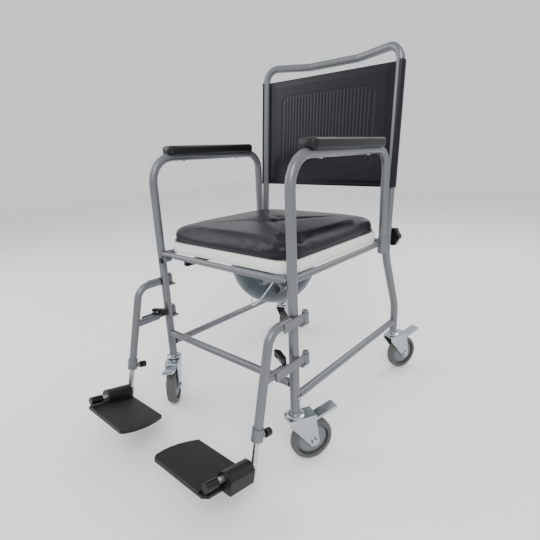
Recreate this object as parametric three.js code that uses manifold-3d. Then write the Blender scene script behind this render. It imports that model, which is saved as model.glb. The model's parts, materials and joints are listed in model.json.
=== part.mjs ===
// A glide-about commode chair: a painted steel tube frame on four braked casters, with a vinyl
// backrest and seat cushion, a plastic toilet seat, a removable pan and two swing-away footrests.
// Millimetres, +Z up. The chair faces -Y and the sitter's left is +X.
import * as THREE from 'three';
import { mergeVertices } from 'three/addons/utils/BufferGeometryUtils.js';
import Module from 'manifold-3d';

const wasm = await Module();
wasm.setup();

// ---- driving dimensions -------------------------------------------------------------------

const GAP = 0.3; // between two pieces that touch
const SIDES = 12; // flats round a tube

const FRAME = {
  tube: 11, // outer radius of the bent frame tubes
  legX: 225, // frame tube axes, either side of the middle
  frontY: -215,
  postY: 193, // rear post of the arm, just in front of the upright
  armZ: 688,
  armFrontBend: 64,
  armRearBend: 48,
  postEndZ: 410,
  legEndZ: 133, // where the tube meets the caster
};
const BACK = {
  rearY: 297, // lower rear leg
  bendLowZ: 222,
  bendHighZ: 402,
  lean: 0.075, // rearward slope of the upright
  seatY: 219, // upright at the height of the seat rails
  topZ: 943,
  bend: 38,
  bowX: 83, // half width of the push handle's set-back middle
  bowY: 40,
  bowDrop: 9,
};
const RAIL = { radius: 7.5, z: 436, sideX: 216.5 };
const LOWER = { radius: 9.5, crossZ: 200.3, sideZ: 168.5 };
const SOCKET = { outer: 13, inner: 11.4, low: 412, high: 452 };

const SEAT = { halfWidth: 210, front: -206, rear: 211, bottom: 444.4, top: 471, corner: 46 };
const APERTURE = { halfWidth: 102, halfLength: 135, centreY: -18 };
const CUSHION = { halfWidth: 204, front: -200, rear: 202, bottom: 471.4, top: 509, corner: 46 };
const ARM_PAD = { halfWidth: 22, front: -163, rear: 150, bottom: 692, top: 717, grip: 12 };
const BACKREST = { low: 586, high: 902, sleeve: 14.2, bore: 11.5, web: 6, setBack: 6 };

const PAN = { y: -10, rim: 135, mouth: 117, flangeZ: 418, flange: 4, centreZ: 402, floorZ: 290, wall: 2.4 };
const RUNNER = { outer: 140, lip: 126, low: 412.5, high: 428, sheet: 2, front: -207, rear: 211 };
const BAIL = { radius: 122, wire: 2, z: 385, hang: 57, turn: -48.7 }; // hang and turn in degrees

const PIVOT = { x: 238, y: -190, pin: 3.9, hole: 4.3, knuckle: 8 };
const HANGER = {
  x: 229,
  tube: 9.75,
  startY: -229.5,
  topZ: 358,
  cornerY: -295,
  bend: 36,
  slope: 0.24, // forward run for each millimetre down
  endZ: 150,
  plate: 4,
  upperZ: 356,
  lowerZ: 261,
  plateHeight: 21,
  collar: 12.6,
};
const STEM = { radius: 6.4, bore: 7, inside: 112, foot: 20 };
// The footplate is square to the stem. Its lengths run forward and up from the stem's own axis
// at plateZ, which is where the tread's top face meets it.
const PLATE = { plateZ: 78, inner: 58, outer: 224, rear: 9, front: 122, thick: 9, bulge: 12 };
const SHAFT = { x: 216, rise: 10, radius: 6.3, front: 104 };
const HOUSING = { inner: 203, outer: 241, front: 74, top: 25, bottom: -14, bore: 6.7 };

const CASTER = {
  wheel: 51.3, // tyre radius
  width: 24,
  rim: 38,
  trail: 39,
  sheet: 3,
  inside: 15.5, // from the wheel's middle to a fork side
  forkTop: 121,
  headRadius: 21,
};
// Which way each caster trails, as an angle from +X, seen from above.
const HEADINGS = { front_left: 62, front_right: -47, rear_left: 68, rear_right: 109 };

// ---- materials ------------------------------------------------------------------------------

const material = (color, roughness, metalness) =>
  new THREE.MeshStandardMaterial({ color, roughness, metalness });
const MATERIALS = {
  frame: material(0x7c8084, 0.42, 0.35),
  vinyl: material(0x14161d, 0.45, 0),
  armPad: material(0x17181b, 0.6, 0),
  seat: material(0xe9e9e4, 0.35, 0),
  pan: material(0x3c474f, 0.4, 0),
  wire: material(0x9aa0a4, 0.3, 0.9),
  plastic: material(0x1a1c1f, 0.55, 0),
  knob: material(0x101113, 0.5, 0),
  stem: material(0xa7a7a4, 0.35, 0.7),
  zinc: material(0xa9b3b8, 0.3, 0.9),
  hub: material(0x7d8488, 0.5, 0),
  tyre: material(0x56524c, 0.75, 0),
};

// ---- shape helpers --------------------------------------------------------------------------

// A route of straight runs joined by round bends, as the stations of a swept tube.
class BentRoute extends THREE.Curve {
  constructor(corners, radii) {
    super();
    this.stations = [corners[0]];
    this.tangents = [corners[1].clone().sub(corners[0]).normalize()];
    for (let i = 1; i < corners.length - 1; i += 1) this.addBend(corners, radii[i - 1], i);
    const last = corners.length - 1;
    this.stations.push(corners[last]);
    this.tangents.push(corners[last].clone().sub(corners[last - 1]).normalize());
  }

  addBend(corners, radius, i) {
    const into = corners[i].clone().sub(corners[i - 1]).normalize();
    const out = corners[i + 1].clone().sub(corners[i]).normalize();
    const turn = into.angleTo(out);
    const setback = radius * Math.tan(turn / 2);
    const start = corners[i].clone().addScaledVector(into, -setback);
    const inward = out.clone().addScaledVector(into, -out.dot(into)).normalize();
    const steps = Math.max(2, Math.ceil(turn / (Math.PI / 10)));
    for (let k = 0; k <= steps; k += 1) {
      const angle = (turn * k) / steps;
      const point = start.clone().addScaledVector(into, radius * Math.sin(angle));
      this.stations.push(point.addScaledVector(inward, radius * (1 - Math.cos(angle))));
      const tangent = into.clone().multiplyScalar(Math.cos(angle));
      this.tangents.push(tangent.addScaledVector(inward, Math.sin(angle)));
    }
  }

  index(t) {
    return Math.round(t * (this.stations.length - 1));
  }

  getPoint(t) {
    return this.stations[this.index(t)].clone();
  }

  getTangentAt(u) {
    return this.tangents[this.index(u)].clone();
  }

  getSpacedPoints() {
    return this.stations.map((station) => station.clone());
  }
}

const vec = (x, y, z) => new THREE.Vector3(x, y, z);

function disc(radius) {
  return new THREE.Shape().absarc(0, 0, radius, 0, 2 * Math.PI);
}

function bentTube(radius, corners, radii = [], sides = SIDES) {
  const path = new BentRoute(corners, radii);
  const steps = path.stations.length - 1;
  return new THREE.ExtrudeGeometry(disc(radius), { steps, extrudePath: path, curveSegments: sides });
}

// A straight round bar between two points.
function bar(radius, from, to, sides = SIDES) {
  const axis = to.clone().sub(from);
  const rod = new THREE.CylinderGeometry(radius, radius, axis.length(), sides);
  const turn = new THREE.Quaternion().setFromUnitVectors(vec(0, 1, 0), axis.normalize());
  rod.applyQuaternion(turn);
  const middle = from.clone().add(to).multiplyScalar(0.5);
  return rod.translate(middle.x, middle.y, middle.z);
}

// A box given by its low and high corners.
function block(low, high) {
  const size = high.clone().sub(low);
  const middle = low.clone().add(high).multiplyScalar(0.5);
  return new THREE.BoxGeometry(size.x, size.y, size.z).translate(middle.x, middle.y, middle.z);
}

// A turned piece about +Z: its profile is a list of [radius, height].
function turned(profile, sides = SIDES) {
  const points = profile.map(([radius, height]) => new THREE.Vector2(radius, height));
  return new THREE.LatheGeometry(points, sides).rotateX(Math.PI / 2);
}

function roundedRectangle(left, right, low, high, radius) {
  const shape = new THREE.Shape();
  shape.absarc(right - radius, low + radius, radius, -Math.PI / 2, 0);
  shape.absarc(right - radius, high - radius, radius, 0, Math.PI / 2);
  shape.absarc(left + radius, high - radius, radius, Math.PI / 2, Math.PI);
  shape.absarc(left + radius, low + radius, radius, Math.PI, 1.5 * Math.PI);
  return shape;
}

function outline(points) {
  return new THREE.Shape(points.map(([x, y]) => new THREE.Vector2(x, y)));
}

// A flat outline in X and Y, given thickness from one height to another.
function slab(shape, low, high, curveSegments = 4) {
  const depth = high - low;
  const body = new THREE.ExtrudeGeometry(shape, { depth, bevelEnabled: false, curveSegments });
  return body.translate(0, 0, low);
}

function solid(geometry) {
  const bare = geometry.clone();
  bare.deleteAttribute('normal');
  bare.deleteAttribute('uv');
  const merged = mergeVertices(bare, 1e-4);
  const vertProperties = new Float32Array(merged.attributes.position.array);
  const triVerts = new Uint32Array(merged.index.array);
  return new wasm.Manifold(new wasm.Mesh({ numProp: 3, vertProperties, triVerts }));
}

function toGeometry(manifold) {
  const mesh = manifold.getMesh();
  const geometry = new THREE.BufferGeometry();
  geometry.setAttribute('position', new THREE.BufferAttribute(mesh.vertProperties, 3));
  geometry.setIndex(new THREE.BufferAttribute(mesh.triVerts, 1));
  geometry.computeVertexNormals();
  return geometry;
}

function join(...geometries) {
  return toGeometry(geometries.map(solid).reduce((whole, next) => whole.add(next)));
}

function cut(geometry, ...tools) {
  return toGeometry(tools.map(solid).reduce((whole, tool) => whole.subtract(tool), solid(geometry)));
}

function common(first, second) {
  return toGeometry(solid(first).intersect(solid(second)));
}

// The same piece for the other side of the chair.
function mirrored(geometry) {
  const copy = geometry.index ? geometry.toNonIndexed() : geometry.clone();
  copy.applyMatrix4(new THREE.Matrix4().makeScale(-1, 1, 1));
  const points = copy.attributes.position;
  for (let i = 0; i < points.count; i += 3) {
    const first = vec(0, 0, 0).fromBufferAttribute(points, i);
    const second = vec(0, 0, 0).fromBufferAttribute(points, i + 1);
    points.setXYZ(i, second.x, second.y, second.z);
    points.setXYZ(i + 1, first.x, first.y, first.z);
  }
  copy.deleteAttribute('normal');
  copy.deleteAttribute('uv');
  copy.computeVertexNormals();
  return copy;
}

function piece(parent, name, geometry, finish) {
  const mesh = new THREE.Mesh(geometry, finish);
  mesh.name = name;
  parent.add(mesh);
  return mesh;
}

function bothSides(parent, name, geometry, finish) {
  piece(parent, `${name}_left`, geometry, finish);
  piece(parent, `${name}_right`, mirrored(geometry), finish);
}

// ---- frame ----------------------------------------------------------------------------------

const uprightY = (z) => BACK.seatY + BACK.lean * (z - RAIL.z);

function backFrame() {
  const side = (sign) => {
    const x = sign * FRAME.legX;
    return [
      vec(x, BACK.rearY, FRAME.legEndZ),
      vec(x, BACK.rearY, BACK.bendLowZ),
      vec(x, uprightY(BACK.bendHighZ), BACK.bendHighZ),
      vec(x, uprightY(BACK.topZ), BACK.topZ),
      vec(sign * BACK.bowX, uprightY(BACK.topZ) + BACK.bowY, BACK.topZ - BACK.bowDrop),
    ];
  };
  const corners = [...side(1), ...side(-1).reverse()];
  const bends = [90, 90, BACK.bend, BACK.bend, BACK.bend, BACK.bend, 90, 90];
  return bentTube(FRAME.tube, corners, bends);
}

// One bent tube makes the front leg, the arm and the rear post. The two lugs behind the leg
// carry the bolts that the footrest swings on.
function sideFrame() {
  const { legX, frontY, postY, armZ, legEndZ, postEndZ } = FRAME;
  const corners = [
    vec(legX, frontY, legEndZ),
    vec(legX, frontY, armZ),
    vec(legX, postY, armZ),
    vec(legX, postY, postEndZ),
  ];
  const tube = bentTube(FRAME.tube, corners, [FRAME.armFrontBend, FRAME.armRearBend]);
  const lugs = [HANGER.upperZ, HANGER.lowerZ].flatMap((middle) => {
    const knuckleLow = middle - HANGER.plateHeight / 2 - GAP;
    const lugLow = knuckleLow - 5;
    const boltTop = middle + HANGER.plateHeight / 2 + GAP;
    const inboard = legX - 4;
    const arm = block(vec(inboard, frontY + 6, lugLow), vec(PIVOT.x + 6, PIVOT.y + 6, knuckleLow));
    const stop = bar(PIVOT.pin, vec(PIVOT.x, PIVOT.y, lugLow), vec(PIVOT.x, PIVOT.y, boltTop + 1), 10);
    const head = bar(6.5, vec(PIVOT.x, PIVOT.y, boltTop), vec(PIVOT.x, PIVOT.y, boltTop + 5), 6);
    return [arm, stop, head];
  });
  return join(tube, ...lugs);
}

function armSocket() {
  const { outer, inner, low, high } = SOCKET;
  const ring = turned([[inner, low], [outer, low], [outer, high], [inner, high], [inner, low]]);
  return ring.translate(FRAME.legX, FRAME.postY, 0);
}

function addFrame(chair) {
  const { legX, frontY, postY, tube } = FRAME;
  piece(chair, 'back_frame', backFrame(), MATERIALS.frame);
  bothSides(chair, 'side_frame', sideFrame(), MATERIALS.frame);
  bothSides(chair, 'arm_socket', armSocket(), MATERIALS.frame);

  const reach = legX - tube - GAP;
  const across = (radius, y, z) => bar(radius, vec(-reach, y, z), vec(reach, y, z));
  piece(chair, 'seat_rail_front', across(RAIL.radius, frontY, RAIL.z), MATERIALS.frame);
  piece(chair, 'seat_rail_rear', across(RAIL.radius, BACK.seatY, RAIL.z), MATERIALS.frame);
  piece(chair, 'lower_cross_bar', across(LOWER.radius, frontY, LOWER.crossZ), MATERIALS.frame);

  const railFront = frontY + tube + GAP;
  const railRear = postY - SOCKET.outer - GAP;
  const sideRail = bar(
    RAIL.radius,
    vec(RAIL.sideX, railFront, RAIL.z),
    vec(RAIL.sideX, railRear, RAIL.z),
  );
  bothSides(chair, 'seat_rail', sideRail, MATERIALS.frame);

  const lowerRear = BACK.rearY - tube - GAP;
  const lowerRail = bar(
    LOWER.radius,
    vec(legX, railFront, LOWER.sideZ),
    vec(legX, lowerRear, LOWER.sideZ),
  );
  bothSides(chair, 'lower_side_rail', lowerRail, MATERIALS.frame);
}

// A lobed hand knob behind each upright, on a bolt along Y that draws the arm post to it.
function starKnob() {
  const { legX, tube } = FRAME;
  const face = uprightY(447) + tube + 4;
  const lobed = new THREE.Shape();
  const lobes = 6;
  const stations = 24;
  for (let i = 0; i < stations; i += 1) {
    const angle = (2 * Math.PI * i) / stations;
    const radius = 25.5 + 2.5 * Math.cos(lobes * angle);
    const x = radius * Math.cos(angle);
    const y = radius * Math.sin(angle);
    if (i === 0) lobed.moveTo(x, y);
    else lobed.lineTo(x, y);
  }
  const grip = slab(lobed, 7, 24);
  const collar = bar(10, vec(0, 0, 0), vec(0, 0, 8));
  return join(grip, collar).rotateX(-Math.PI / 2).translate(legX, face, 447);
}

// ---- seat, back and arms --------------------------------------------------------------------

function padShape({ halfWidth, front, rear, corner }) {
  return roundedRectangle(-halfWidth, halfWidth, front, rear, corner);
}

function toiletSeat() {
  const shape = padShape(SEAT);
  const hole = new THREE.Path();
  const { halfWidth, halfLength, centreY } = APERTURE;
  hole.absellipse(0, centreY, halfWidth, halfLength, 0, 2 * Math.PI);
  shape.holes.push(hole);
  return slab(shape, SEAT.bottom, SEAT.top, 6);
}

// Two sleeves over the uprights with one panel between them.
function backrest() {
  const { low, high, sleeve, bore, web, setBack } = BACKREST;
  const tilt = Math.atan(BACK.lean);
  const { legX } = FRAME;
  const half = web / 2;
  const reach = legX - bore - GAP;
  const panel = outline([
    [-reach, setBack - half],
    [reach, setBack - half],
    [reach, setBack + half],
    [-reach, setBack + half],
  ]);
  const length = (high - low) / Math.cos(tilt);
  const ring = (x) => {
    const shape = new THREE.Shape().absarc(x, 0, sleeve, 0, 2 * Math.PI);
    shape.holes.push(new THREE.Path().absarc(x, 0, bore, 0, 2 * Math.PI, true));
    return slab(shape, 0, length, SIDES);
  };
  const whole = join(slab(panel, 0, length), ring(legX), ring(-legX));
  return whole.rotateX(-tilt).translate(0, uprightY(low), low);
}

// A moulded pad with a groove below that sits over the arm tube.
function armPad() {
  const { halfWidth, front, rear, bottom, top, grip } = ARM_PAD;
  const seatZ = FRAME.armZ + FRAME.tube + GAP;
  const section = outline([
    [-halfWidth, bottom],
    [-grip, bottom],
    [-grip, seatZ],
    [grip, seatZ],
    [grip, bottom],
    [halfWidth, bottom],
    [halfWidth, top - 8],
    [halfWidth - 7, top],
    [-halfWidth + 7, top],
    [-halfWidth, top - 8],
  ]);
  const pad = slab(section, 0, rear - front).rotateX(Math.PI / 2);
  return pad.translate(FRAME.legX, rear, 0);
}

function addUpholstery(chair) {
  piece(chair, 'toilet_seat', toiletSeat(), MATERIALS.seat);
  const cushion = slab(padShape(CUSHION), CUSHION.bottom, CUSHION.top);
  piece(chair, 'seat_cushion', cushion, MATERIALS.vinyl);
  piece(chair, 'backrest', backrest(), MATERIALS.vinyl);
  bothSides(chair, 'arm_pad', armPad(), MATERIALS.armPad);
}

// ---- pan ------------------------------------------------------------------------------------

// A round-bottomed bowl with a flat rim that slides in the runners.
function pan() {
  const { rim, mouth, flangeZ, flange, centreZ, floorZ, wall } = PAN;
  const top = flangeZ + flange;
  const steps = 6;
  const deepest = Math.asin((centreZ - floorZ) / mouth);
  const arc = (radius, lift) => Array.from({ length: steps + 1 }, (_, i) => {
    const angle = (deepest * (steps - i)) / steps;
    return [radius * Math.cos(angle), centreZ - (centreZ - floorZ - lift) * Math.sin(angle) / Math.sin(deepest)];
  });
  const outside = arc(mouth, 0);
  const inside = arc(mouth - wall, wall).reverse();
  const profile = [[0, floorZ], ...outside, [mouth, flangeZ], [rim, flangeZ], [rim, top]];
  profile.push([mouth - wall, top], ...inside, [0, floorZ + wall]);
  return turned(profile, 24).translate(0, PAN.y, 0);
}

// The pan's carrying wire: a half hoop round the bowl, hanging from its two sides.
function panHandle() {
  const { radius, wire, z, hang, turn } = BAIL;
  const steps = 10;
  const hoop = new THREE.CatmullRomCurve3(
    Array.from({ length: steps + 1 }, (_, i) => {
      const angle = Math.PI + (Math.PI * i) / steps;
      return vec(radius * Math.cos(angle), radius * Math.sin(angle), 0);
    }),
  );
  const settings = { steps: 14, extrudePath: hoop, curveSegments: 6 };
  const bail = new THREE.ExtrudeGeometry(disc(wire), settings);
  bail.rotateX(THREE.MathUtils.degToRad(hang)).rotateZ(THREE.MathUtils.degToRad(turn));
  return bail.translate(0, PAN.y, z);
}

function panRunner() {
  const { outer, lip, low, high, sheet, front, rear } = RUNNER;
  const channel = outline([
    [lip, low],
    [outer, low],
    [outer, high],
    [lip + 4, high],
    [lip + 4, high - sheet],
    [outer - sheet, high - sheet],
    [outer - sheet, low + sheet],
    [lip, low + sheet],
  ]);
  return slab(channel, 0, rear - front).rotateX(Math.PI / 2).translate(0, rear, 0);
}

function addPan(chair) {
  piece(chair, 'pan', pan(), MATERIALS.pan);
  piece(chair, 'pan_handle', panHandle(), MATERIALS.wire);
  bothSides(chair, 'pan_runner', panRunner(), MATERIALS.zinc);
}

// ---- footrests ------------------------------------------------------------------------------
// Each is shaped for the left side, where it is when latched.

const hangerY = (z) => {
  const { cornerY, topZ, slope } = HANGER;
  return cornerY - slope * (topZ - z);
};
const stemPoint = (z) => vec(HANGER.x, hangerY(z), z);

// Moves a piece shaped about the foot of the stem, with -Y forward, on to the sloping stem.
function onStem(geometry) {
  const foot = stemPoint(PLATE.plateZ);
  return geometry.rotateX(-Math.atan(HANGER.slope)).translate(0, foot.y, foot.z);
}

function knuckle(middle) {
  const low = middle - HANGER.plateHeight / 2;
  const high = middle + HANGER.plateHeight / 2;
  return bar(PIVOT.knuckle, vec(PIVOT.x, PIVOT.y, low), vec(PIVOT.x, PIVOT.y, high));
}

function knucklePlate(middle, front) {
  const outer = HANGER.x + HANGER.tube + 2.5;
  const low = middle - HANGER.plateHeight / 2;
  return block(
    vec(outer - HANGER.plate, front, low),
    vec(outer, PIVOT.y - 1, low + HANGER.plateHeight),
  );
}

function hanger() {
  const { x, tube, startY, topZ, cornerY, bend, endZ, upperZ, lowerZ, collar, slope } = HANGER;
  const corners = [vec(x, startY, topZ), vec(x, cornerY, topZ), stemPoint(endZ)];
  const main = bentTube(tube, corners, [bend]);
  const sleeve = bar(collar, stemPoint(endZ - 8), stemPoint(endZ + 18));
  const earStart = stemPoint(endZ - 1);
  const ear = bar(6, earStart, earStart.clone().add(vec(0, 19, -19 * slope)), 8);
  const stub = bar(tube - 0.5, vec(x, hangerY(lowerZ), lowerZ), vec(x, -247, lowerZ));
  const whole = join(
    main,
    sleeve,
    ear,
    stub,
    knucklePlate(upperZ, -262),
    knucklePlate(lowerZ, -292),
    knuckle(upperZ),
    knuckle(lowerZ),
  );
  const boltHole = bar(PIVOT.hole, vec(PIVOT.x, PIVOT.y, 200), vec(PIVOT.x, PIVOT.y, 400));
  const stemHole = bar(STEM.bore, stemPoint(endZ - 20), stemPoint(endZ + STEM.inside + 52));
  return cut(whole, boltHole, stemHole);
}

// The sliding stem, with the shaft that the footplate turns on welded across its foot.
function stem() {
  const low = stemPoint(PLATE.plateZ - 12);
  const rod = bar(STEM.radius, low, stemPoint(HANGER.endZ + STEM.inside), 10);
  const { x, rise, radius, front } = SHAFT;
  const web = block(
    vec(x - 9, 1 - PLATE.rear, rise - 22),
    vec(HANGER.x + 6, 7 - PLATE.rear, rise + 10),
  );
  const shaft = bar(radius, vec(x, 4 - PLATE.rear, rise), vec(x, -front, rise));
  return join(rod, onStem(join(web, shaft)));
}

function shaftCap() {
  const { x, rise, radius, front } = SHAFT;
  const start = 15 - front;
  const cap = bar(9.3, vec(x, start, rise), vec(x, start - 29, rise));
  const socket = bar(radius + GAP, vec(x, start + 5, rise), vec(x, -front - GAP, rise));
  return onStem(cut(cap, socket));
}

// A flat tread with a bowed inner edge and, outboard, the housing that turns on the shaft.
function footplate() {
  const { inner, outer, rear, front, thick, bulge } = PLATE;
  const tread = new THREE.Shape();
  tread.moveTo(outer - 22, -rear);
  tread.lineTo(inner + 12, -rear);
  tread.quadraticCurveTo(inner - bulge, -(rear + front) / 2, inner + 2, 8 - front);
  tread.lineTo(inner + 9, -front);
  tread.lineTo(outer - 10, -front);
  tread.lineTo(outer, 10 - front);
  tread.lineTo(outer, -rear - 30);
  tread.lineTo(outer - 22, -rear);
  const board = slab(tread, -thick, 0, 5);
  const { inner: near, outer: far, front: housingFront, bottom, top, bore } = HOUSING;
  const rise = top - bottom;
  const section = outline([
    [near, bottom],
    [far, bottom],
    [far, bottom + rise * 0.7],
    [far - 8, top - 3],
    [(near + far) / 2, top],
    [near + 7, top - 3],
    [near, bottom + rise * 0.72],
  ]);
  const length = housingFront - rear;
  const shell = slab(section, 0, length).rotateX(Math.PI / 2).translate(0, -rear, 0);
  const { x, rise: shaftRise } = SHAFT;
  const hole = bar(bore, vec(x, 9, shaftRise), vec(x, -front - 9, shaftRise));
  const notch = block(
    vec(x - 11, -front - 5, -thick + 5.5),
    vec(x + 40, -housingFront - GAP, shaftRise + 30),
  );
  return onStem(cut(join(board, shell), hole, notch));
}

// A thumb screw in the collar's ear, pointing rearward, square to the stem.
function clampKnob() {
  const back = vec(0, 1, -HANGER.slope).normalize();
  const start = stemPoint(HANGER.endZ - 1).addScaledVector(back, 20);
  const neck = bar(4, start, start.clone().addScaledVector(back, 6), 8);
  const from = start.clone().addScaledVector(back, 3);
  const grip = bar(9, from, from.clone().addScaledVector(back, 15), 10);
  return join(neck, grip);
}

// The release lever lies along the lower stub and reaches inboard in front of the leg.
function latchLever() {
  const z = HANGER.lowerZ + HANGER.tube + GAP;
  const blade = outline([
    [HANGER.x + 5, -262],
    [HANGER.x + 5, -252],
    [204, -234],
    [192, -236],
    [192, -242],
  ]);
  return slab(blade, z, z + 15);
}

function addFootrests(chair) {
  bothSides(chair, 'hanger', hanger(), MATERIALS.frame);
  bothSides(chair, 'clamp_knob', clampKnob(), MATERIALS.knob);
  bothSides(chair, 'latch_lever', latchLever(), MATERIALS.knob);
  bothSides(chair, 'footrest_stem', stem(), MATERIALS.stem);
  bothSides(chair, 'shaft_cap', shaftCap(), MATERIALS.knob);
  bothSides(chair, 'footplate', footplate(), MATERIALS.plastic);
}

// ---- casters --------------------------------------------------------------------------------
// Each is shaped with its swivel axis on Z and trails along +X.

function casterHead() {
  const { forkTop, headRadius } = CASTER;
  const low = forkTop + GAP;
  const top = FRAME.legEndZ - GAP;
  return turned([
    [0, low],
    [headRadius - 3, low],
    [headRadius, low + 2],
    [headRadius, low + 5],
    [headRadius - 4, low + 7.5],
    [12, low + 8],
    [12, top],
    [0, top],
  ]);
}

// Bent sheet: a U section seen from the front, trimmed to tapering cheeks seen from the side.
function casterFork() {
  const { wheel, trail, sheet, inside, forkTop } = CASTER;
  const far = inside + sheet;
  const section = outline([
    [-far, 20],
    [-inside, 20],
    [-inside, forkTop - sheet - 1],
    [inside, forkTop - sheet - 1],
    [inside, 20],
    [far, 20],
    [far, forkTop],
    [-far, forkTop],
  ]);
  const channel = slab(section, -60, 80).rotateX(Math.PI / 2).rotateZ(Math.PI / 2);
  const cheek = outline([
    [-21, forkTop],
    [-20, forkTop - 14],
    [trail - 13, wheel - 3],
    [trail - 7, wheel - 12],
    [trail + 7, wheel - 12],
    [trail + 13, wheel - 3],
    [trail + 6, forkTop - 22],
    [trail + 6, forkTop],
  ]);
  const sides = slab(cheek, -40, 40).rotateX(Math.PI / 2);
  const axleHole = bar(4.3, vec(trail, -30, wheel), vec(trail, 30, wheel));
  return cut(common(channel, sides), axleHole);
}

function casterAxle() {
  const { wheel, trail, inside, sheet } = CASTER;
  const outer = inside + sheet + GAP;
  const at = (y) => vec(trail, y, wheel);
  const rod = bar(4, at(-outer - 3), at(outer + 3), 10);
  const cap = bar(8, at(-outer), at(-outer - 5));
  const head = bar(7, at(outer), at(outer + 4), 6);
  return join(rod, cap, head);
}

function wheelRing(inner, outer, halfWidth, sides) {
  const edge = (outer - inner) / 3;
  const ring = turned([
    [inner, -halfWidth],
    [outer - edge, -halfWidth],
    [outer, -halfWidth * 0.45],
    [outer, halfWidth * 0.45],
    [outer - edge, halfWidth],
    [inner, halfWidth],
    [inner, -halfWidth],
  ], sides);
  return ring.rotateX(Math.PI / 2).translate(CASTER.trail, 0, CASTER.wheel);
}

// The pedal hangs on a cross pin high in the fork and stands out behind the wheel.
function brakePedal() {
  const { trail, forkTop, inside } = CASTER;
  const z = forkTop - 15;
  const side = outline([
    [trail - 7, z - 2],
    [trail + 12, z - 2],
    [trail + 60, z + 13],
    [trail + 62, z + 18],
    [trail + 56, z + 20],
    [trail + 12, z + 5],
    [trail - 7, z + 5],
  ]);
  const width = inside - 2;
  return slab(side, -width, width).rotateX(Math.PI / 2);
}

function addCaster(chair, corner, x, y) {
  const caster = new THREE.Group();
  caster.position.set(x, y, 0);
  caster.rotation.z = THREE.MathUtils.degToRad(HEADINGS[corner]);
  chair.add(caster);
  const { wheel, rim, width } = CASTER;
  piece(caster, `caster_head_${corner}`, casterHead(), MATERIALS.zinc);
  piece(caster, `caster_fork_${corner}`, casterFork(), MATERIALS.zinc);
  piece(caster, `caster_axle_${corner}`, casterAxle(), MATERIALS.zinc);
  piece(caster, `caster_hub_${corner}`, wheelRing(4.3, rim, width / 2 - 1, 16), MATERIALS.hub);
  const tread = wheelRing(rim + GAP + 1.2, wheel, width / 2, 28);
  piece(caster, `caster_tyre_${corner}`, tread, MATERIALS.tyre);
  piece(caster, `brake_pedal_${corner}`, brakePedal(), MATERIALS.zinc);
}

// ---- the chair ------------------------------------------------------------------------------

const chair = new THREE.Group();
addFrame(chair);
bothSides(chair, 'star_knob', starKnob(), MATERIALS.knob);
addUpholstery(chair);
addPan(chair);
addFootrests(chair);
addCaster(chair, 'front_left', FRAME.legX, FRAME.frontY);
addCaster(chair, 'front_right', -FRAME.legX, FRAME.frontY);
addCaster(chair, 'rear_left', FRAME.legX, BACK.rearY);
addCaster(chair, 'rear_right', -FRAME.legX, BACK.rearY);

// The origin is on the floor, under the middle of the chair's box.
chair.updateMatrixWorld(true);
const box = new THREE.Box3().setFromObject(chair, true);
chair.position.set(-(box.min.x + box.max.x) / 2, -(box.min.y + box.max.y) / 2, -box.min.z);

export default chair;
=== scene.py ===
"""Looks for the commode chair. Sizes below are in millimetres about the chair's own middle,
with the front at -Y and the sitter's left at +X; at() turns them into the frame's metres."""

import json
import math

import bpy
from mathutils import Matrix, Vector


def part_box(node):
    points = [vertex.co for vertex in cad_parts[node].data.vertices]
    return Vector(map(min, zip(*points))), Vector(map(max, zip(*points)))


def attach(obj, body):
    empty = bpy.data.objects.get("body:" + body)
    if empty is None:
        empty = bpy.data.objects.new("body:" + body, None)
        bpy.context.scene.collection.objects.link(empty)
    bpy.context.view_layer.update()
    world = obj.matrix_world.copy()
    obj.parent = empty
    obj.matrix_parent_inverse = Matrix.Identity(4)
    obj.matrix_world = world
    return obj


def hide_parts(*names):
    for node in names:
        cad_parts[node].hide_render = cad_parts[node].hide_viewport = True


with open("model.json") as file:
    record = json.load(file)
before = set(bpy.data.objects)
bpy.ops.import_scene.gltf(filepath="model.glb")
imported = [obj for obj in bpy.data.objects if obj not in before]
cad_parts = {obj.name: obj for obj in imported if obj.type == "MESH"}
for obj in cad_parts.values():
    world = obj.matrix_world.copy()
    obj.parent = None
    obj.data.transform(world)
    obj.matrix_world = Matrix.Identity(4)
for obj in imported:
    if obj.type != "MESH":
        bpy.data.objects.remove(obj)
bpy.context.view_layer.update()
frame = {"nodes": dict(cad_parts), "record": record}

rail_low, rail_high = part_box("seat_rail_front")
OFFSET = Vector(((rail_low.x + rail_high.x) / 2, (rail_low.y + rail_high.y) / 2 + 0.215, 0))
LEG_X = 225
SLOPE = math.atan(0.24)
LEAN = math.atan(0.075)
SIDES = (("left", 1), ("right", -1))


def at(x, y, z):
    return Vector((x, y, z)) / 1000 + OFFSET


# ---- camera, floor and light ----------------------------------------------------------------

def add_camera():
    yaw, pitch, roll = (math.radians(a) for a in (41.22, -16.68, -2.30))
    level = math.cos(pitch)
    forward = Vector((-math.sin(yaw) * level, math.cos(yaw) * level, math.sin(pitch)))
    right = Vector((math.cos(yaw), math.sin(yaw), 0))
    up = right.cross(forward)
    right, up = (math.cos(roll) * right + math.sin(roll) * up,
                 math.cos(roll) * up - math.sin(roll) * right)
    data = bpy.data.cameras.new("camera")
    data.sensor_width = 36
    data.lens = 26.667
    camera = bpy.data.objects.new("camera", data)
    turn = Matrix((right, up, -forward)).transposed().to_4x4()
    camera.matrix_world = Matrix.Translation(at(698.5, -822.2, 695.6)) @ turn
    bpy.context.scene.collection.objects.link(camera)
    bpy.context.scene.camera = camera


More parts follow.
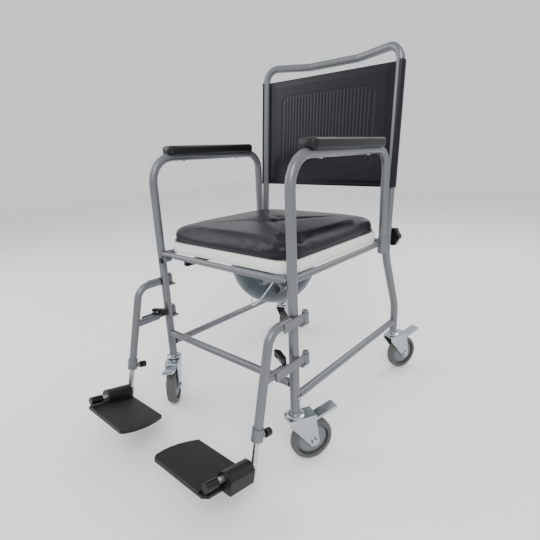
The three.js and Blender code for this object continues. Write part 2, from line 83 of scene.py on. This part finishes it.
def add_light(name, place, size, watts):
    data = bpy.data.lights.new(name, "AREA")
    data.size = size
    data.energy = watts
    lamp = bpy.data.objects.new(name, data)
    lamp.location = place
    aim = Vector((0, 0, 0.4)) - Vector(place)
    lamp.rotation_mode = "QUATERNION"
    lamp.rotation_quaternion = aim.to_track_quat("-Z", "Y")
    bpy.context.scene.collection.objects.link(lamp)


# ---- materials ------------------------------------------------------------------------------

def finish(name, color, rough, metal=0.0, grain=400.0, bump=0.1, vary=0.08, cells=False):
    """A surface whose colour, gloss and relief vary over a fine grain."""
    made = bpy.data.materials.new(name)
    made.use_nodes = True
    nodes, links = made.node_tree.nodes, made.node_tree.links
    shader = nodes["Principled BSDF"]
    shader.inputs["Metallic"].default_value = metal
    shader.inputs["Specular IOR Level"].default_value = 0.5 if metal else 0.3
    place = nodes.new("ShaderNodeTexCoord")
    broad = nodes.new("ShaderNodeTexNoise")
    broad.inputs["Scale"].default_value = 14
    links.new(place.outputs["Object"], broad.inputs["Vector"])
    fine = nodes.new("ShaderNodeTexVoronoi" if cells else "ShaderNodeTexNoise")
    fine.inputs["Scale"].default_value = grain
    links.new(place.outputs["Object"], fine.inputs["Vector"])
    tint = nodes.new("ShaderNodeMix")
    tint.data_type = "RGBA"
    tint.inputs[6].default_value = (*[c * (1 - vary) for c in color], 1)
    tint.inputs[7].default_value = (*[min(1, c * (1 + vary)) for c in color], 1)
    links.new(broad.outputs["Fac"], tint.inputs[0])
    links.new(tint.outputs[2], shader.inputs["Base Color"])
    gloss = nodes.new("ShaderNodeMapRange")
    gloss.inputs["To Min"].default_value = rough * 0.85
    gloss.inputs["To Max"].default_value = min(1, rough * 1.15)
    links.new(broad.outputs["Fac"], gloss.inputs["Value"])
    links.new(gloss.outputs["Result"], shader.inputs["Roughness"])
    relief = nodes.new("ShaderNodeBump")
    relief.inputs["Strength"].default_value = bump
    relief.inputs["Distance"].default_value = 0.0004
    links.new(fine.outputs[0], relief.inputs["Height"])
    links.new(relief.outputs["Normal"], shader.inputs["Normal"])
    return made


LOOKS = {
    "frame_paint": finish("frame_paint", (0.15, 0.158, 0.17), 0.34, 0.45, 900, 0.08),
    "vinyl": finish("vinyl", (0.0035, 0.0045, 0.009), 0.33, 0, 700, 0.35, cells=True),
    "arm_pad": finish("arm_pad", (0.006, 0.006, 0.008), 0.42, 0, 900, 0.25),
    "seat_plastic": finish("seat_plastic", (0.80, 0.80, 0.76), 0.25, 0, 200, 0.04, 0.02),
    "pan_plastic": finish("pan_plastic", (0.05, 0.07, 0.085), 0.35, 0, 300, 0.06),
    "wire": finish("wire", (0.55, 0.57, 0.59), 0.25, 1, 600, 0.05),
    "runner_steel": finish("runner_steel", (0.16, 0.17, 0.18), 0.4, 1, 500, 0.08),
    "plate_plastic": finish("plate_plastic", (0.006, 0.0065, 0.008), 0.45, 0, 1100, 0.5, cells=True),
    "knob_plastic": finish("knob_plastic", (0.005, 0.005, 0.006), 0.38, 0, 800, 0.2),
    "stem_metal": finish("stem_metal", (0.52, 0.52, 0.51), 0.3, 0.9, 500, 0.06),
    "zinc": finish("zinc", (0.42, 0.455, 0.48), 0.24, 0.95, 500, 0.12, 0.12),
    "wheel_plastic": finish("wheel_plastic", (0.14, 0.155, 0.165), 0.45, 0, 500, 0.12),
    "tyre_rubber": finish("tyre_rubber", (0.085, 0.083, 0.08), 0.6, 0, 900, 0.3),
    "thread": finish("thread", (0.02, 0.02, 0.026), 0.7, 0, 900, 0.2),
    "floor": finish("floor", (0.92, 0.92, 0.92), 0.6, 0, 60, 0.02, 0.01),
}
NODE_SLOT = {s["node"]: s["material_slot"] for s in frame["record"]["subparts"]}


def dress_frame():
    """Gives each carried-over node its finish, with smooth tubes and crisp edges."""
    for name, node in frame["nodes"].items():
        node.data.materials.clear()
        node.data.materials.append(LOOKS[NODE_SLOT[name]])
        custom = node.data.attributes.get("custom_normal")
        if custom:
            node.data.attributes.remove(custom)
        for face in node.data.polygons:
            face.use_smooth = True
        weld = node.modifiers.new("weld", "WELD")
        weld.merge_threshold = 1e-6
        crisp = node.modifiers.new("crisp", "EDGE_SPLIT")
        crisp.split_angle = math.radians(38)


# ---- building pieces ------------------------------------------------------------------------

def piece(name, points, faces, look, body, smooth=True):
    mesh = bpy.data.meshes.new(name)
    mesh.from_pydata([tuple(p) for p in points], [], faces)
    mesh.validate()
    mesh.materials.append(LOOKS[look])
    for face in mesh.polygons:
        face.use_smooth = smooth
    made = bpy.data.objects.new(name, mesh)
    bpy.context.scene.collection.objects.link(made)
    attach(made, body)
    return made


def rings_mesh(rings, ends=True):
    """Faces that join closed rings of the same length, with a fan over each end."""
    count = len(rings[0])
    points = [p for ring in rings for p in ring]
    faces = []
    for r in range(len(rings) - 1):
        for i in range(count):
            j = (i + 1) % count
            here, above = r * count, (r + 1) * count
            faces.append((here + i, here + j, above + j, above + i))
    if ends:
        faces.append(tuple(reversed(range(count))))
        faces.append(tuple((len(rings) - 1) * count + i for i in range(count)))
    return points, faces


def rod(name, start, end, radius, look, body, sides=24):
    """A round piece between two points, with its edges eased."""
    axis = (end - start).normalized()
    across = axis.orthogonal().normalized()
    other = axis.cross(across)
    radius, ease = radius / 1000, min(0.0006, radius / 4000)
    rings = []
    for centre, r in ((start, radius - ease), (start + axis * ease, radius),
                      (end - axis * ease, radius), (end, radius - ease)):
        rings.append([centre + r * (math.cos(2 * math.pi * i / sides) * across
                                    + math.sin(2 * math.pi * i / sides) * other)
                      for i in range(sides)])
    return piece(name, *rings_mesh(rings), look, body)


def rounded_outline(half_x, low_y, high_y, corner, per_corner=20, per_side=36):
    """Points round a rectangle with round corners, evenly spaced along each part."""
    centres = ((half_x - corner, low_y + corner, -90), (half_x - corner, high_y - corner, 0),
               (-half_x + corner, high_y - corner, 90), (-half_x + corner, low_y + corner, 180))
    points = []
    for k, (cx, cy, start) in enumerate(centres):
        arc = [(cx + corner * math.cos(math.radians(start + 90 * i / per_corner)),
                cy + corner * math.sin(math.radians(start + 90 * i / per_corner)))
               for i in range(per_corner + 1)]
        points += arc
        nx, ny, turn = centres[(k + 1) % 4]
        to = (nx + corner * math.cos(math.radians(turn)), ny + corner * math.sin(math.radians(turn)))
        for i in range(1, per_side):
            t = i / per_side
            points.append((arc[-1][0] * (1 - t) + to[0] * t, arc[-1][1] * (1 - t) + to[1] * t))
    return points


# ---- soft pieces ----------------------------------------------------------------------------

def inflate(cushion, pinned, limit):
    """Swells the cover under a little pressure with its underside held, and bakes the shape in."""
    group = cushion.vertex_groups.new(name="held")
    group.add(pinned, 1.0, "REPLACE")
    cloth = cushion.modifiers.new("cloth", "CLOTH")
    settings = cloth.settings
    settings.quality = 6
    settings.mass = 0.4
    settings.tension_stiffness = 25
    settings.compression_stiffness = 25
    settings.shear_stiffness = 12
    settings.bending_stiffness = 2
    settings.use_pressure = True
    settings.uniform_pressure_force = 4
    settings.effector_weights.gravity = 0
    settings.vertex_group_mass = "held"
    cloth.point_cache.frame_start, cloth.point_cache.frame_end = 1, 20
    scene = bpy.context.scene
    for number in range(1, 21):
        scene.frame_set(number)
    shown = cushion.evaluated_get(bpy.context.evaluated_depsgraph_get())
    swollen = [v.co.copy() for v in shown.data.vertices]
    cushion.modifiers.remove(cloth)
    scene.frame_set(1)
    for vertex, target in zip(cushion.data.vertices, swollen):
        move = target - vertex.co
        if move.length > limit:
            move = move.normalized() * limit
        vertex.co = vertex.co + move
    cushion.data.update()


def seat_cushion():
    outline = rounded_outline(204, -200, 202, 46)
    base, crown, edge = 471.4, 509, 21
    rings = []

    def ring(shrink, z):
        rings.append([at(x * shrink, 1 + (y - 1) * shrink, z) for x, y in outline])

    steps = 26
    for i in range(1, steps + 1):
        ring(i / steps * 0.985, base)
    ring(1.0, base + 3)
    for i in range(1, 5):
        ring(1.0, base + 3 + (crown - edge - base - 3) * i / 5)
    for i in range(0, 7):
        a = math.pi / 2 * i / 6
        ring(1 - (edge / 204) * (1 - math.cos(a)), crown - edge + edge * math.sin(a))
    top = 1 - edge / 204
    for i in range(steps - 1, 0, -1):
        t = i / steps
        ring(top * t, crown + 3.0 * (1 - t * t))
    points, faces = rings_mesh(rings)
    made = piece("seat_cushion_cover", points, faces, "vinyl", "seat_cushion")
    under = [v.index for v in made.data.vertices if v.co.z < at(0, 0, base + 1).z]
    inflate(made, under, 0.005)
    smooth = made.modifiers.new("round", "SUBSURF")
    smooth.levels = smooth.render_levels = 1
    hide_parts("seat_cushion")
    # The cover's lower edge is turned over a rim, which shows as a bead.
    bead = []
    for i in range(10):
        a = 2 * math.pi * i / 10
        grow = 1 + (0.6 + 1.8 * math.cos(a)) / 204
        lift = base + 3.2 + 2.2 * math.sin(a)
        bead.append([at(x * grow, 1 + (y - 1) * grow, lift) for x, y in outline])
    bead.append(bead[0])
    piece("seat_cushion_bead", *rings_mesh(bead, ends=False), "vinyl", "seat_cushion")


PANEL = {"half": 158, "low": 52, "high": 268, "corner": 24, "ribs": 28, "depth": 0.7}


def emboss(x, s):
    """Relief of the back's ribbed panel at x across and s up the leaning back."""
    p = PANEL
    dx = abs(x) - (p["half"] - p["corner"])
    middle, half_s = (p["low"] + p["high"]) / 2, (p["high"] - p["low"]) / 2
    ds = abs(s - middle) - (half_s - p["corner"])
    outside = math.hypot(max(dx, 0), max(ds, 0)) + min(max(dx, ds), 0) - p["corner"]
    if outside > 2:
        return 0.0
    if outside > -3:
        return -0.8 * math.cos((outside + 0.5) / 2.5 * math.pi / 2)
    pitch = 2 * p["half"] / p["ribs"]
    return p["depth"] * (abs(math.cos(math.pi * x / pitch)) - 0.5)


def backrest():
    low, length, sleeve = 586, (902 - 586) / math.cos(LEAN), 14.2
    across = 2 * (LEG_X - 10)
    count = 360
    rings = []
    stations = 90
    for k in range(stations + 1):
        s = length * k / stations
        end = min(s, length - s)
        swell = 3.0 * min(1, end / 18)
        hem = -0.9 if 10 < end < 12.5 else 0.0
        section = []
        for i in range(count + 1):
            x = -across / 2 + across * i / count
            edge = min(1, (across / 2 - abs(x)) / 25)
            section.append((x, 3.0 - (swell + emboss(x, s) + hem) * edge))
        for i in range(1, 24):
            a = -math.pi * 0.45 + (math.pi * 0.9) * i / 24
            section.append((LEG_X + sleeve * math.cos(a), sleeve * math.sin(a)))
        for i in range(60):
            section.append((across / 2 - across * i / 59, 9.0))
        for i in range(1, 24):
            a = math.pi * 0.55 + (math.pi * 0.9) * i / 24
            section.append((-LEG_X + sleeve * math.cos(a), sleeve * math.sin(a)))
        rings.append([on_back(x, y, s) for x, y in section])
    made = piece("backrest_cover", *rings_mesh(rings), "vinyl", "chair_frame")
    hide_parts("backrest")
    for side, sign in SIDES:
        for row, inset in (("outer", 28), ("inner", 33)):
            stitches(f"backrest_stitch_{row}_{side}", sign * (LEG_X - inset), length)


def on_back(x, y, s):
    """A point of the leaning back: x across, y behind the upright's axis, s up it from its foot."""
    foot = 219 + 0.075 * (586 - 436)
    cosine, sine = math.cos(LEAN), math.sin(LEAN)
    return at(x, foot + y * cosine + s * sine, 586 - y * sine + s * cosine)


def stitches(name, x, length):
    points, faces = [], []
    step, long, half = 4.6, 3.1, 0.35
    for k in range(int((length - 12) / step)):
        s = 6 + k * step
        start = len(points)
        for ds in (0, long):
            for dx, dy in ((-half, 0), (half, 0), (half, -0.7), (-half, -0.7)):
                points.append(on_back(x + dx, -0.3 + dy, s + ds))
        a = [start + i for i in range(8)]
        faces += [(a[0], a[3], a[2], a[1]), (a[4], a[5], a[6], a[7])]
        faces += [(a[i], a[(i + 1) % 4], a[4 + (i + 1) % 4], a[4 + i]) for i in range(4)]
    piece(name, points, faces, "thread", "chair_frame", smooth=False)


def arm_pads():
    for side, sign in SIDES:
        low_y, high_y, half, low_z, high_z = -163, 150, 22, 692, 717
        rings = []
        for k in range(41):
            t = k / 40
            y = low_y + (high_y - low_y) * t
            end = min(y - low_y, high_y - y)
            pull = 1 - 0.22 * max(0, 1 - end / 10) ** 2
            section = []
            for i in range(40):
                a = 2 * math.pi * i / 40
                c, s = math.cos(a), math.sin(a)
                x = math.copysign(abs(c) ** 0.45, c) * half * pull
                z = math.copysign(abs(s) ** 0.45, s) * (high_z - low_z) / 2 * pull
                section.append(at(sign * LEG_X + x, y, (low_z + high_z) / 2 + z))
            rings.append(section)
        made = piece(f"arm_pad_skin_{side}", *rings_mesh(rings), "arm_pad", "chair_frame")
        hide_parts(f"arm_pad_{side}")


# ---- small fittings -------------------------------------------------------------------------

def stem_point(x, z, forward=0.0):
    y = -295 - 0.24 * (358 - z)
    return at(x, y - forward * math.cos(SLOPE), z + forward * math.sin(SLOPE))


def fittings():
    for side, sign in SIDES:
        x = sign * 229
        rod(f"hanger_plug_{side}", at(x, -227.0, 358), at(x, -231.5, 358), 10.2,
            "knob_plastic", f"footrest_{side}")
        rod(f"stem_strip_{side}", stem_point(x, 136, 6.0), stem_point(x, 70, 6.0), 1.3,
            "knob_plastic", f"stem_{side}")
        for k, y in enumerate((-259.5, -254.5)):
            rod(f"latch_rivet_{k}_{side}", at(sign * (226 - 9 * k), y - 1.0, 279),
                at(sign * (226 - 9 * k), y - 4.0, 279), 2.4, "zinc", f"latch_{side}")
        clamp = sign * 200
        rod(f"seat_clamp_{side}", at(clamp, -233, 423), at(clamp, -205, 423), 7.2,
            "frame_paint", "chair_frame")
        rod(f"seat_clamp_plug_{side}", at(clamp, -238, 423), at(clamp, -232.5, 423), 8.2,
            "knob_plastic", "chair_frame")
        rod(f"leg_bolt_{side}", at(sign * 235, -215, 170), at(sign * 240, -215, 170), 5.5,
            "zinc", "chair_frame", sides=6)
        for k, y in enumerate((-110, 95)):
            rod(f"arm_screw_{k}_{side}", at(sign * LEG_X, y, 678.5), at(sign * LEG_X, y, 675), 4.0,
                "zinc", "chair_frame")


# ---- assembly -------------------------------------------------------------------------------

add_camera()
bpy.ops.mesh.primitive_plane_add(size=12, location=(0, 0, -0.0005))
floor = bpy.context.object
floor.name = "floor"
floor.data.materials.append(LOOKS["floor"])
world = bpy.data.worlds.new("world")
bpy.context.scene.world = world
world.use_nodes = True
world.node_tree.nodes["Background"].inputs["Color"].default_value = (0.93, 0.94, 0.95, 1)
world.node_tree.nodes["Background"].inputs["Strength"].default_value = 1.0
add_light("key", (1.6, -1.8, 2.6), 1.6, 70)
add_light("fill", (-2.2, -1.0, 1.8), 2.0, 30)
add_light("rim", (0.4, 2.2, 2.4), 1.5, 35)

dress_frame()
seat_cushion()
backrest()
arm_pads()
fittings()
